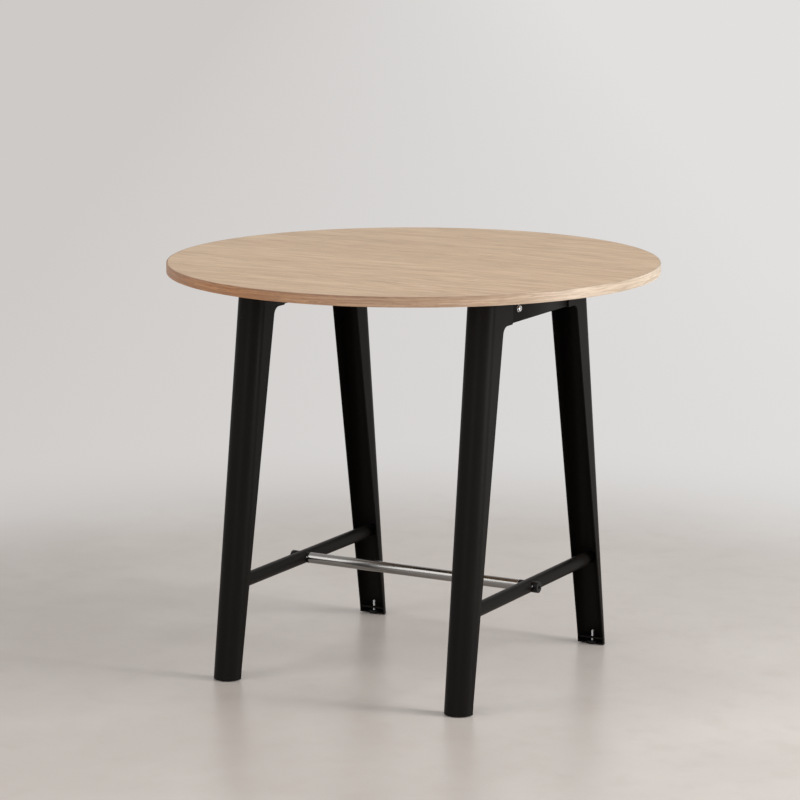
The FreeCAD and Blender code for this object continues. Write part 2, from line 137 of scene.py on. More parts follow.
SCREW_PLACES = [-60.0, 0.0, 60.0]
SCREW_RADIUS = 2.5
SCREW_HEAD_RADIUS, SCREW_HEAD_HEIGHT = 4.8, 2.6
SCREW_DOME = 0.9
SCREW_HEX = 1.6
SCREW_HEX_MOUTH, SCREW_HEX_DEPTH, SCREW_HEX_FLOOR = 0.4, 1.5, 1.9
SCREW_UNDER_EDGE = 0.3
SCREW_BITE = 15.0
SCREW_TIP, SCREW_TIP_RADIUS = 2, 0.3
SCREW_WASHER_RADIUS, SCREW_WASHER_BORE = 7.0, 2.9
SCREW_WASHER_THICKNESS, SCREW_WASHER_EDGE = 1.0, 0.25

STUD_RADIUS = 4.0
STUD_HEX = 2.0
STUD_HEX_MOUTH, STUD_HEX_DEPTH, STUD_HEX_FLOOR = 0.3, 4, 4.6
STUD_HEX_FLARE = 0.25
STUD_CHAMFER = 0.6
STUD_LOW, STUD_TOP = 2.65, 31.5
STUD_THREAD_LOW = 4
THREAD_PITCH = 1.25
THREAD_DEPTH = 0.62
THREAD_SLOPE, THREAD_CREST = 1.25, 0.12
THREAD_ROWS = 8  # to a pitch
THREAD_RUN_OUT = 0.6
HEX_CONE = 0.35  # the depth of a hexagon socket's drilled floor, in hexagon radii
HEX_MOUTH, HEX_FLARE = 0.35, 0.3  # the depth and the width of its chamfer
HEX_RIM = 1.35  # where a head's flat face starts, in hexagon radii
HEAD_UNDER_EDGE = 0.25
CONE_TIP = 0.02
NECK_GAP = 0.01
PLATE_Z = 14.6
STUD_SETBACK = 11.5
PAD_RADIUS = 13.0
PAD_HEIGHT = 7.6
PAD_BORE = 4.05
PAD_FLOOR = 2.6
PAD_ROUNDING = [0.8, 1.5, 0.3, 0]
PAD_GROOVES = [(0.0, 4.0), (0.0, 5.2), (0.5, 5.6), (0.5, 6.6), (0.0, 7.0), (0.0, 8.6), (0.5, 9.0),
               (0.5, 10.0), (0.0, 10.4)]  # (height, radius)

UNDERSIDE_Z = LEG_LIFT + LEG_HEIGHT
TOP_Z = UNDERSIDE_Z + TOP_THICKNESS
HOLD = 0.3  # how far beyond an arc the flat next to it has its first point


def along_leg(foot_value, head_value, z):
    """A size that changes evenly from a leg's foot to its head, at the heights z."""
    return foot_value + (head_value - foot_value) * (z - LEG_LIFT) / LEG_HEIGHT


def leg_x(z):
    """How far out along X a leg's middle lies, at the heights z."""
    return along_leg(LEG_FOOT_X, LEG_HEAD_X, z)


BEAM_Z = UNDERSIDE_Z - BEAM_HEIGHT
BEAM_X = leg_x((BEAM_Z + UNDERSIDE_Z) / 2)
BEAM_HALF_WIDTH = (LEG_RADIUS - LEG_SHEET - BEAM_SIDE_GAP
                   - abs(leg_x(BEAM_Z) - leg_x(UNDERSIDE_Z)) / 2)
BOLT_Z = UNDERSIDE_Z - BOLT_DROP
TUBE_Z = LEG_LIFT + TUBE_HEIGHT
TUBE_X = leg_x(TUBE_Z)
GLIDE_X = leg_x(PLATE_Z)
GLIDE_Y = along_leg(EDGE_FOOT_Y, EDGE_HEAD_Y, PLATE_Z) + STUD_SETBACK


# ---- mesh tools
def full_turn(count):
    """Evenly spaced angles round a full turn."""
    return 2 * np.pi * np.arange(count) / count


def rounded(corners, radii, steps):
    """A closed flat outline.  Each corner with a radius becomes an arc of that radius about the
    point on the corner's bisector, radius / sin(half the corner's angle) away, with one more point
    a little beyond each end of the arc, which keeps the shading of the flats next to it flat."""
    corners = np.asarray(corners, float)
    runs = []
    for k, radius in enumerate(radii):
        corner = corners[k]
        if radius == 0:
            runs.append(corner[None])
            continue
        back = corners[k - 1] - corner
        onward = corners[(k + 1) % len(corners)] - corner
        back /= np.linalg.norm(back)
        onward /= np.linalg.norm(onward)
        half = math.acos(float(np.clip(back @ onward, -1, 1))) / 2
        reach = radius / math.tan(half)
        middle = back + onward
        centre = corner + middle / np.linalg.norm(middle) * radius / math.sin(half)
        start, end = corner + back * reach, corner + onward * reach
        first = math.atan2(*(start - centre)[::-1])
        last = math.atan2(*(end - centre)[::-1])
        turn = (last - first + math.pi) % (2 * math.pi) - math.pi
        angles = first + turn * np.linspace(0, 1, steps + 1)
        arc = centre + radius * np.stack([np.cos(angles), np.sin(angles)], 1)
        runs.append(np.concatenate([[start + back * HOLD], arc, [end + onward * HOLD]]))
    return np.concatenate(runs)


def grid_quads(rows, columns, wrap_rows=False):
    """The four corner numbers of every cell of a grid of points, row by row.  The last column meets
    the first one again."""
    i = np.arange(rows if wrap_rows else rows - 1)[:, None]
    j = np.arange(columns)[None]
    i2, j2 = (i + 1) % rows, (j + 1) % columns
    return np.stack([i * columns + j, i * columns + j2, i2 * columns + j2, i2 * columns + j],
                    2).reshape(-1, 4)


def outward(points, faces):
    """The same closed surface with its faces turned outwards: the volume under its faces, summed
    from its own middle as signed tetrahedra, has to be positive."""
    centred = points - points.mean(0)
    volume = 0.0
    for face in faces:
        corners = centred[face]
        for k in range(1, face.shape[1] - 1):
            volume += np.einsum("ij,ij->", corners[:, 0],
                                np.cross(corners[:, k], corners[:, k + 1]))
    if volume < 0:
        faces = [face[:, ::-1] for face in faces]
    return points, faces


def frame_about(axis):
    """An axis as a unit vector, and two more at right angles to it and to each other."""
    axis = np.asarray(axis, float) / np.linalg.norm(axis)
    side = np.array([0.0, 0.0, 1.0]) if abs(axis[2]) < 0.9 else np.array([1.0, 0.0, 0.0])
    first = side - axis * (side @ axis)
    first /= np.linalg.norm(first)
    return axis, first, np.cross(axis, first)


def from_flat_middle(t):
    """The angle t, measured from the middle of the nearest flat of a hexagon."""
    return (t + np.pi / 6) % (np.pi / 3) - np.pi / 6


def turned(profile, start, axis, segments, closed=False, grooves=None):
    """A profile turned about an axis.  Each row of the profile is (distance along the axis, radius,
    hexagon): a point lies at start + axis * distance + radius * (u cos t + v sin t).  Where hexagon
    is 1 the radius is divided by the cosine of the angle from the nearest flat's middle, which
    draws a hexagon that is two radii across its flats.  A closed profile makes a ring.  An open one
    is capped at both ends by a fan to the axis.  grooves(distance, t) is added to the radius."""
    profile = np.asarray(profile, float)
    axis, u, v = frame_about(axis)
    t = full_turn(segments)
    hexagon = profile[:, 2:3]
    radius = profile[:, 1:2] * (1 - hexagon + hexagon / np.cos(from_flat_middle(t))[None])
    if grooves is not None:
        radius = radius + grooves(profile[:, :1], t[None])
    around = np.cos(t)[:, None] * u + np.sin(t)[:, None] * v
    points = (np.asarray(start, float) + profile[:, 0, None, None] * axis
              + radius[:, :, None] * around[None])
    rows = len(profile)
    points = points.reshape(-1, 3)
    faces = [grid_quads(rows, segments, wrap_rows=closed)]
    if not closed:
        ends = np.asarray(start, float) + profile[[0, -1], :1] * axis
        ring = np.arange(segments)
        after = (ring + 1) % segments
        low, high = len(points), len(points) + 1
        last = (rows - 1) * segments
        points = np.concatenate([points, ends])
        faces.append(np.stack([np.full(segments, low), after, ring], 1))
        faces.append(np.stack([np.full(segments, high), last + ring, last + after], 1))
    return outward(points, faces)


def turned_outline(outline, start, axis, segments, closed=True):
    """A flat outline of (distance, radius) turned about an axis, round all over."""
    profile = np.concatenate([outline, np.zeros((len(outline), 1))], 1)
    return turned(profile, start, axis, segments, closed)


def strip_solid(loops, path, rim):
    """A folded sheet.  loops holds one closed section in each row: path points on its outer face,
    rim points round one free edge, path points back along its inner face, and rim points round the
    other free edge.  The rows join into walls, and the first and last sections are filled between
    the outer and the inner face."""
    rows, columns = loops.shape[:2]
    faces = [grid_quads(rows, columns)]
    outer = np.arange(path)
    inner = path + rim + np.arange(path)[::-1]
    first_rim = np.concatenate([[path - 1], path + np.arange(rim), [path + rim]])
    second_rim = np.concatenate([[columns - rim - 1], columns - rim + np.arange(rim), [0]])
    for base, flip in ((0, False), ((rows - 1) * columns, True)):
        wall = np.stack([outer[:-1], inner[:-1], inner[1:], outer[1:]], 1) + base
        ends = [np.array([r]) + base for r in (first_rim[::-1], second_rim[::-1])]
        for face in [wall] + ends:
            faces.append(face[:, ::-1] if flip else face)
    return outward(loops.reshape(-1, 3), faces)


def sheet_edge(thickness):
    """The rounded free edge of a sheet, from its outer to its inner face: a quarter circle, a
    straight line and another quarter circle.  Returns how far each point lies from the edge and
    through the sheet."""
    angle = np.linspace(0, np.pi / 2, SHEET_EDGE_STEPS + 1)[1:]
    away = SHEET_EDGE * (1 - np.sin(angle))
    through = SHEET_EDGE * (1 - np.cos(angle))
    return (np.concatenate([away, away[::-1]]),
            np.concatenate([through, thickness - through[::-1]]))


def piece(name, solids, body, slot, *stands_for):
    """One visible piece from one or more closed solids in millimetres, which rides on a body, takes
    its slot's finish and stands for CAD nodes."""
    mesh = bpy.data.meshes.new(name)
    points, counts, corners, offset = [], [], [], 0
    for solid_points, solid_faces in solids:
        points.append(solid_points)
        for face in solid_faces:
            counts.append(np.full(len(face), face.shape[1]))
            corners.append((face + offset).ravel())
        offset += len(solid_points)
    points, counts, corners = map(np.concatenate, (points, counts, corners))
    mesh.vertices.add(len(points))
    mesh.vertices.foreach_set("co", (points * MM).astype(np.float32).ravel())
    mesh.loops.add(len(corners))
    mesh.loops.foreach_set("vertex_index", corners.astype(np.int32))
    mesh.polygons.add(len(counts))
    mesh.polygons.foreach_set("loop_start", (np.cumsum(counts) - counts).astype(np.int32))
    mesh.polygons.foreach_set("use_smooth", np.ones(len(counts), bool))
    mesh.update(calc_edges=True)
    mesh.validate()
    mesh.set_sharp_from_angle(angle=math.radians(CREASE_DEGREES))
    mesh.materials.append(FINISHES[slot])
    made = bpy.data.objects.new(name, mesh)
    bpy.context.scene.collection.objects.link(made)
    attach(made, body)
    if stands_for:
        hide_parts(*stands_for)


# ---- material tools
class Nodes:
    """A node tree under construction.  A value is a number, a colour, a vector or a node's output,
    which is linked."""

    def __init__(self, tree):
        self.tree = tree

    def put(self, socket, value):
        """Link a value into a socket, or set it there."""
        if isinstance(value, bpy.types.NodeSocket):
            self.tree.links.new(value, socket)
        else:
            socket.default_value = value

    def node(self, kind, settings=(), **sockets):
        """A new node with its settings and input values.  An underscore stands for a space."""
        made = self.tree.nodes.new("ShaderNode" + kind)
        for setting, value in dict(settings).items():
            setattr(made, setting, value)
        for socket, value in sockets.items():
            self.put(made.inputs[socket.replace("_", " ")], value)
        return made

    def sum_up(self, operation, first, second):
        """One step of arithmetic with two numbers."""
        step = self.node("Math", {"operation": operation})
        self.put(step.inputs[0], first)
        self.put(step.inputs[1], second)
        return step.outputs[0]

    def mixed(self, first, second, first_share, second_share):
        """The weighted sum of two numbers."""
        return self.sum_up("ADD", self.sum_up("MULTIPLY", first, first_share),
                           self.sum_up("MULTIPLY", second, second_share))

    def blend(self, first, second, share):
        """A colour between two colours."""
        first, second = (colour if isinstance(colour, bpy.types.NodeSocket) else (*colour, 1)
                         for colour in (first, second))
        step = self.node("Mix", {"data_type": "RGBA"}, Factor=share, A=first, B=second)
        return [o for o in step.outputs if o.type == "RGBA"][0]

    def seen_directly(self):
        """1 for a ray from a camera, a mirror or a clear body, and 0 for any other."""
        rays = self.node("LightPath").outputs
        seen = self.sum_up("MAXIMUM", rays["Is Camera Ray"], rays["Is Glossy Ray"])
        return self.sum_up("MAXIMUM", seen, rays["Is Transmission Ray"])


class Finish(Nodes):
    """A material under construction: its node tree and its surface shader."""

    def __init__(self, name, **sockets):
        self.material = bpy.data.materials.new(name)
        self.material.use_nodes = True
        super().__init__(self.material.node_tree)
        self.shader = self.tree.nodes["Principled BSDF"]
        self.finish(**sockets)
        self.object_place = self.node("TexCoord").outputs["Object"]

    def scaled(self, scale, shift=(0, 0, 0), source=None):
        """A place, by default the object's own, times a scale along each axis, plus a shift."""
        return self.node("Mapping", Vector=source or self.object_place, Location=shift,
                         Scale=scale).outputs["Vector"]

    def noise(self, vector, scale=1.0, detail=2.0, roughness=0.5):
        """A soft random value from 0 to 1."""
        return self.node("TexNoise", Vector=vector, Scale=scale, Detail=detail,
                         Roughness=roughness).outputs["Fac"]

    def spread(self, value, low, high, new_low=0.0, new_high=1.0):
        """A value carried from one range to another and held inside it."""
        return self.node("MapRange", Value=value, From_Min=low, From_Max=high, To_Min=new_low,
                         To_Max=new_high).outputs[0]

    def along(self, place, direction):
        """How far a place lies along a direction."""
        step = self.node("VectorMath", {"operation": "DOT_PRODUCT"})
        self.put(step.inputs[0], place)
        self.put(step.inputs[1], direction)
        return step.outputs["Value"]

    def nudged(self, **shift):
        """The object's own place, moved along one axis."""
        step = self.node("VectorMath", {"operation": "ADD"})
        self.put(step.inputs[0], self.object_place)
        self.put(step.inputs[1], self.node("CombineXYZ", **shift).outputs[0])
        return step.outputs[0]

    def bump(self, height, strength, distance):
        """A normal that follows a small relief."""
        return self.node("Bump", Strength=strength, Distance=distance,
                         Height=height).outputs["Normal"]

    def finish(self, **sockets):
        """The material, with values in its shader's sockets."""
        for socket, value in sockets.items():
            self.put(self.shader.inputs[socket.replace("_", " ")], value)
        return self.material


# ---- finishes
def oak_veneer(name, pale, mid, dark, pore):
    """Lacquered oak with its grain along X: broad cathedral bands, thin streaks, fibres and pores,
    each a noise that is stretched along the grain."""
    oak = Finish(name, Roughness=0.42, Specular_IOR_Level=0.35)
    wander = oak.noise(oak.scaled((0.9, 3.5, 3.5), (3.1, 0.4, 0)))
    grain = oak.nudged(Y=oak.spread(wander, 0.3, 0.7, -0.035, 0.035))

    def stretched(along, across, shift, detail, roughness=0.5):
        """A noise with one scale along the grain and another across it."""
        return oak.noise(oak.scaled((along, across, across), shift, grain), 1.0, detail, roughness)

    bands = stretched(0.55, 17.0, (1.7, 5.2, 0), 3.0, 0.55)
    streaks = stretched(7.0, 96.0, (0, 2.0, 0), 4.0, 0.62)
    fibres = stretched(16.0, 800.0, (0, 0, 0), 3.0, 0.6)
    pores = stretched(42.0, 1300.0, (0.3, 0, 0), 1.0)
    late = stretched(1.1, 46.0, (9.0, 1.0, 0), 2.0)
    lines = stretched(10.0, 140.0, (4.0, 0.7, 0), 3.0, 0.6)
    tone = oak.mixed(bands, streaks, 0.4, 1.1)
    tone = oak.sum_up("ADD", tone, oak.sum_up("MULTIPLY", fibres, 0.3))
    colour = oak.blend(pale, mid, oak.spread(tone, 0.72, 1.08))
    colour = oak.blend(colour, dark, oak.spread(late, 0.62, 0.80, 0.0, 0.55))
    colour = oak.blend(colour, dark, oak.spread(lines, 0.50, 0.66, 0.0, 0.78))
    dash = oak.sum_up("MULTIPLY", oak.spread(pores, 0.61, 0.72),
                      oak.spread(bands, 0.40, 0.62, 0.15, 0.75))
    colour = oak.blend(colour, pore, dash)
    relief = oak.sum_up("SUBTRACT", fibres, oak.sum_up("MULTIPLY", dash, 0.8))
    return oak.finish(Base_Color=colour, Normal=oak.bump(relief, 0.12, 0.0002),
                      Roughness=oak.spread(fibres, 0.3, 0.7, 0.38, 0.48))


def oak_lipping(name):
    """Solid oak whose grain follows the rim: level streaks.  Its colour carries painted light and
    shade: red brown and darker on the shaded side of the table, pale cream on the side the window
    lamp lights, where the dark streaks are painted fainter.  A painted shade line runs under the
    upper arris on the shaded side."""
    oak = Finish(name, Roughness=0.4, Specular_IOR_Level=0.4)
    unit = oak.node("VectorMath", {"operation": "NORMALIZE"})
    oak.put(unit.inputs[0], oak.scaled((1, 1, 0)))
    # painted light and shade: 0 on the shaded red side of the rim, 1 on the lit cream side
    side = oak.spread(oak.along(unit.outputs[0], LIT_RIM_DIRECTION), -0.5, 1.06)
    wander = oak.noise(oak.scaled((5.0, 5.0, 30.0)))
    grain = oak.nudged(Z=oak.spread(wander, 0.3, 0.7, -0.004, 0.004))
    bands = oak.noise(oak.scaled((7.0, 7.0, 210.0), (0, 0, 0), grain), 1.0, 3.0, 0.6)
    streaks = oak.noise(oak.scaled((17.0, 17.0, 330.0), (1, 0, 0), grain), 1.0, 4.0, 0.68)
    fibres = oak.noise(oak.scaled((60.0, 60.0, 2400.0), (0, 2, 0), grain))
    tone = oak.spread(oak.mixed(bands, streaks, 0.4, 0.6), 0.42, 0.56)
    # a painted shade tone and a painted lit tone of the same oak
    red = oak.blend((0.29, 0.128, 0.055), (0.505, 0.258, 0.120), tone)
    cream = oak.blend((0.385, 0.305, 0.220), (0.580, 0.487, 0.383), tone)
    colour = oak.blend(red, cream, side)
    # dark grain streaks, painted stronger on the shaded side and fainter on the lit side
    dash = oak.sum_up("MULTIPLY", oak.spread(streaks, 0.50, 0.60, 0.0, 0.80),
                      oak.spread(side, 0.0, 1.0, 1.0, 0.22))
    # painted shade under the upper arris, strongest on the shaded side of the rim
    line = oak.spread(oak.along(oak.object_place, UP), (TOP_Z - ARRIS_SHADE_LOW) * MM,
                      (TOP_Z - ARRIS_SHADE_HIGH) * MM)
    line = oak.sum_up("MULTIPLY", line, oak.spread(side, 0.3, 0.9, 0.55, 0.0))
    # the dark streaks and the painted arris shade share this dark brown
    colour = oak.blend(colour, (0.20, 0.10, 0.055), oak.sum_up("MAXIMUM", dash, line))
    return oak.finish(Base_Color=colour, Normal=oak.bump(fibres, 0.15, 0.0002),
                      Roughness=oak.spread(fibres, 0.3, 0.7, 0.36, 0.46))


def powder_coat(name, tone):
    """Fine matte black powder coat: a very dark warm base and a soft orange-peel relief."""
    coat = Finish(name, Specular_IOR_Level=0.058)
    peel = coat.noise(coat.object_place, scale=950.0, detail=2.0, roughness=0.55)
    cloud = coat.noise(coat.object_place, scale=9.0, detail=3.0)
    colour = coat.blend((tone * 0.96, tone * 0.82, tone * 0.70),
                        (tone * 1.20, tone * 1.03, tone * 0.90), cloud)
    return coat.finish(Base_Color=colour, Normal=coat.bump(peel, 0.22, 0.00025),
                       Roughness=coat.spread(cloud, 0.3, 0.7, 0.38, 0.46))


def brushed_steel(name, base, stretch, roughness):
    """Brushed stainless steel: fine scratches that are stretched along one direction."""
    steel = Finish(name, Metallic=1.0, Anisotropic=0.2)
    scratches = steel.noise(steel.scaled(stretch), detail=4.0, roughness=0.65)
    cloud = steel.noise(steel.object_place, scale=14.0, detail=2.0)
    colour = steel.blend(tuple(0.93 * c for c in base), base, scratches)
    return steel.finish(Base_Color=colour, Normal=steel.bump(scratches, 0.05, 0.0001),
                        Roughness=steel.spread(steel.mixed(cloud, scratches, 0.4, 0.6),
                                               0.3, 0.7, *roughness))


def zinc_plate(name, base):
    """Bright zinc plate: a faint mottle and small handling marks."""
    zinc = Finish(name, Metallic=1.0)
    mottle = zinc.noise(zinc.object_place, scale=260.0, detail=3.0)
    marks = zinc.noise(zinc.scaled((900, 900, 220)), detail=2.0)
    colour = zinc.blend(tuple(0.86 * c for c in base), base, mottle)
    return zinc.finish(Base_Color=colour, Normal=zinc.bump(marks, 0.12, 0.0001),
                       Roughness=zinc.spread(mottle, 0.3, 0.7, 0.20, 0.34))


def black_oxide(name, base):
    """Satin black oxide on turned steel: dark, with faint turning marks and a soft sheen."""
    oxide = Finish(name, Specular_IOR_Level=0.14)
    mottle = oxide.noise(oxide.object_place, scale=420.0, detail=3.0)
    marks = oxide.noise(oxide.scaled((2600, 700, 700)), detail=2.0)
    colour = oxide.blend(tuple(0.7 * c for c in base), tuple(1.3 * c for c in base), mottle)
    return oxide.finish(Base_Color=colour, Normal=oxide.bump(marks, 0.15, 0.0001),
                        Roughness=oxide.spread(mottle, 0.3, 0.7, 0.30, 0.42))


def moulded_plastic(name, tone):
    """Black moulded plastic with a fine spark-eroded grain."""
    plastic = Finish(name, Specular_IOR_Level=0.18)
    grain = plastic.noise(plastic.object_place, scale=2600.0, detail=1.0)
    cloud = plastic.noise(plastic.object_place, scale=60.0, detail=2.0)
    colour = plastic.blend((tone * 0.8,) * 3, (tone * 1.2,) * 3, cloud)
    return plastic.finish(Base_Color=colour, Normal=plastic.bump(grain, 0.25, 0.00015),
                          Roughness=plastic.spread(cloud, 0.3, 0.7, 0.5, 0.62))


def particle_board(name):
    """The board's core: pressed chips in three tones."""
    core = Finish(name, Roughness=0.85)
    chips = core.node("TexVoronoi", Vector=core.scaled((160.0, 160.0, 700.0)), Scale=1.0)
    flour = core.noise(core.object_place, scale=900.0, detail=2.0)
    colour = core.blend((0.34, 0.22, 0.12), (0.58, 0.43, 0.27), chips.outputs["Distance"])
    colour = core.blend(colour, (0.66, 0.52, 0.35), core.spread(flour, 0.4, 0.7, 0.0, 0.6))
    return core.finish(Base_Color=colour, Normal=core.bump(flour, 0.4, 0.0003))


FINISHES = {slot: maker(slot, *values) for slot, maker, *values in (
    ("oak_face", oak_veneer, (0.645, 0.460, 0.292), (0.520, 0.347, 0.208), (0.42, 0.268, 0.155),
     (0.25, 0.145, 0.082)),
    ("oak_backing", oak_veneer, (0.60, 0.43, 0.285), (0.50, 0.34, 0.22), (0.43, 0.285, 0.175),
     (0.26, 0.155, 0.095)),
    ("oak_edge", oak_lipping),
    ("board_core", particle_board),
    ("black_powder_coat", powder_coat, 0.0070),
    ("brushed_stainless", brushed_steel, (0.275, 0.267, 0.257), (9, 1500, 1500), (0.15, 0.23)),
    ("plain_steel", brushed_steel, (0.46, 0.46, 0.47), (300, 300, 300), (0.3, 0.45)),
    ("zinc_steel", zinc_plate, (0.78, 0.79, 0.80)),
    ("pad_plastic", moulded_plastic, 0.005),
    ("black_oxide", black_oxide, (0.0085, 0.008, 0.008)))}
for entry in frame["record"]["subparts"]:
    node_mesh = frame["nodes"][entry["node"]].data
    node_mesh.materials.clear()
    node_mesh.materials.append(FINISHES[entry["material_slot"]])


# ---- round top
def make_top():
    """The lipping is a square section, rounded at its outer corners, turned about Z.  The veneer is
    a thin disc with rings that crowd towards its edge."""
    low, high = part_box("edge_lipping")
    radius = min(high.x, high.y, -low.x, -low.y) / MM
    inner = radius - LIPPING_WIDTH
    section = rounded([(UNDERSIDE_Z, inner), (UNDERSIDE_Z, radius), (TOP_Z, radius),
                       (TOP_Z, inner)], [0, UNDER_ARRIS, TOP_ARRIS, 0], steps=6)
    lipping = turned_outline(section, (0, 0, 0), UP, RIM_SEGMENTS)
    piece("oak_rim_lipping", [lipping], "frame", "oak_edge", "edge_lipping")
    rings = (inner - GLUE_LINE) * np.array(VENEER_RINGS)
    face_low = TOP_Z - VENEER_THICKNESS
    profile = [(face_low, r, 0) for r in rings] + [(TOP_Z, r, 0) for r in rings[::-1]]
    veneer = turned(profile, (0, 0, 0), UP, RIM_SEGMENTS)
    piece("oak_top_face", [veneer], "frame", "oak_face", "top_veneer")


make_top()


# ---- legs
def ear_outline():
    """The free edge of a leg as (|y|, z) rows: up the leaning edge, round the inner corner, along
    under the ear, round its tip and up to the head.  Returns the rows and, for each, the unit
    direction into the sheet and the height at which its section meets the nose."""
    ear_z = UNDERSIDE_Z - EAR_HEIGHT
    foot = np.array([EDGE_FOOT_Y, LEG_LIFT])
    corner = np.array([along_leg(EDGE_FOOT_Y, EDGE_HEAD_Y, ear_z), ear_z])
    tip = np.array([EAR_TIP_Y, ear_z])
    head = np.array([EAR_TIP_Y, UNDERSIDE_Z])
    far = np.array([NOSE_FOOT_Y, UNDERSIDE_Z])
    path = rounded([foot, corner, tip, head, far], [0, EAR_CORNER_RADIUS, EAR_TIP_RADIUS, 0, 0],
                   steps=10)[:-1]
    straight = path[0] + (path[1] - path[0]) * np.linspace(0, 1, EDGE_ROWS)[:, None]
    last = path[-2] + (path[-1] - path[-2]) * np.linspace(0, 1, HEAD_ROWS)[:, None]
    path = np.concatenate([straight, path[2:-2], last])
    ahead = np.gradient(path, axis=0)
    ahead /= np.linalg.norm(ahead, axis=1)[:, None]
    inward = np.stack([ahead[:, 1], -ahead[:, 0]], 1)
    inward[0] = inward[1] = inward[2]
    level = path[:, 1].copy()
    fan = np.arange(len(path)) >= len(straight) - 1
    walked = np.concatenate([[0], np.cumsum(np.linalg.norm(np.diff(path[fan], axis=0), axis=1))])
    level[fan] = straight[-1, 1] + (UNDERSIDE_Z - straight[-1, 1]) * walked / walked[-1]
    return path, inward, level


def make_leg(side, end):
    """A folded channel.  In each row a flank runs straight from the free edge to the nose, the nose
    is a level half circle about the leg's leaning middle line, and the other flank runs back; the
    inner face is the same at a radius less by the sheet."""
    path, inward, level = ear_outline()
    turn = np.linspace(0, np.pi, NOSE_POINTS)[None]
    share = np.concatenate([[0, 0.01], np.linspace(0.1, 0.9, 7), [0.99]])[None]

    def face(radius):
        """A flank, the nose and the other flank, at a radius from the leg's middle line."""
        start = path + inward * SHEET_EDGE
        nose_y = along_leg(NOSE_FOOT_Y, NOSE_HEAD_Y, level) - LEG_RADIUS
        flank_y = start[:, :1] + (nose_y[:, None] - start[:, :1]) * share
        flank_z = start[:, 1:] + (level[:, None] - start[:, 1:]) * share
        flank_x = side * leg_x(flank_z)
        middle_x = side * leg_x(level)[:, None]
        bow = np.stack([middle_x + radius * np.cos(turn),
                        end * (nose_y[:, None] + radius * np.sin(turn)),
                        np.broadcast_to(level[:, None], (len(path), turn.size))], 2)
        near = np.stack([flank_x + radius, end * flank_y, flank_z], 2)
        off = np.stack([flank_x - radius, end * flank_y, flank_z], 2)
        return np.concatenate([near, bow, off[:, ::-1]], 1)

    def rim(sign):
        """The rounded free edge of one flank: edge + into * away + through * deep."""
        lean = side * (LEG_HEAD_X - LEG_FOOT_X) / LEG_HEIGHT
        edge = np.stack([side * leg_x(path[:, 1]) + sign * LEG_RADIUS,
                         end * path[:, 0], path[:, 1]], 1)
        into = np.stack([inward[:, 1] * lean, end * inward[:, 0], inward[:, 1]], 1)
        away, deep = sheet_edge(LEG_SHEET)
        through = np.array([-sign, 0, 0])
        return (edge[:, None] + into[:, None] * away[None, :, None]
                + through[None, None] * deep[None, :, None])

    outer, inner = face(LEG_RADIUS), face(LEG_RADIUS - LEG_SHEET)
    first, second = rim(-1), rim(1)[:, ::-1]
    loops = np.concatenate([outer, first[:, :-1], inner[:, ::-1], second[:, 1:]], 1)
    loops[0, :, 2] = LEG_LIFT
    loops[-1, :, 2] = UNDERSIDE_Z
    return strip_solid(loops, outer.shape[1], first.shape[1] - 1)


for side_name, side in SIDES.items():
    for end_name, end in ENDS.items():
        corner = end_name + "_" + side_name
        piece("folded_leg_" + corner, [make_leg(side, end)], "frame", "black_powder_coat",
              "leg_" + corner)


# ---- beams and tubes
def channel_section(half_width, low, high, sheet, bend, inset):
    """A folded channel's closed section, open downwards: over its outer face, round one free edge,
    back over its inner face and round the other free edge.  An inset draws both faces together, and
    the free edges up, by the same distance.  Returns (x, z) rows and the counts of an outer face's
    and an edge's points."""
    outer_half, outer_high = half_width - inset, high - inset
    inner_half, inner_high = half_width - sheet + inset, high - sheet + inset
    foot = low + inset + SHEET_EDGE
    outer_bend, inner_bend = bend - inset, bend - sheet + inset
    outer = rounded([(-outer_half, foot), (-outer_half, outer_high), (outer_half, outer_high),
                     (outer_half, foot)], [0, outer_bend, outer_bend, 0], steps=8)
    inner = rounded([(inner_half, foot), (inner_half, inner_high), (-inner_half, inner_high),
                     (-inner_half, foot)], [0, inner_bend, inner_bend, 0], steps=8)
    up, across = (run[:-1] for run in sheet_edge(sheet - 2 * inset))
    right = np.stack([outer_half - across, low + inset + up], 1)
    left = np.stack([-inner_half - across, low + inset + up], 1)
    return np.concatenate([outer, right, inner, left]), len(outer), len(right)


def make_beam(side):
    """The channel's section carried along Y.  Near each end it shrinks to an inset of SHEET_EDGE at
    the very end, and comes back along a quarter circle to its full size, where it is closed."""
    half, angle = BEAM_LENGTH / 2, np.linspace(0, np.pi / 2, SHEET_EDGE_STEPS + 1)
    inset = np.concatenate([SHEET_EDGE * (1 - np.cos(angle)), [0]])[::-1]
    reach = half - np.concatenate([SHEET_EDGE * (1 - np.sin(angle)), [SHEET_EDGE + HOLD]])[::-1]
    inset = np.concatenate([inset[::-1], inset])
    y = np.concatenate([-reach[::-1], reach])
    sections, faces, edges = zip(*[channel_section(BEAM_HALF_WIDTH, BEAM_Z, UNDERSIDE_Z, BEAM_SHEET,
                                                   BEAM_BEND, i) for i in inset])
    flat = np.stack(sections)
    loops = np.stack([side * BEAM_X + flat[:, :, 0], np.broadcast_to(y[:, None], flat.shape[:2]),
                      flat[:, :, 1]], 2)
    return strip_solid(loops, faces[0], edges[0])


def inside_nose(x, z):
    """How far out along Y the inside of a leg's nose lies, at a place and a height: the nose's
    middle line plus the half circle's sqrt(radius^2 - distance^2)."""
    middle = along_leg(NOSE_FOOT_Y, NOSE_HEAD_Y, z) - LEG_RADIUS
    return middle + np.sqrt((LEG_RADIUS - LEG_SHEET) ** 2 - (x - leg_x(z)) ** 2)


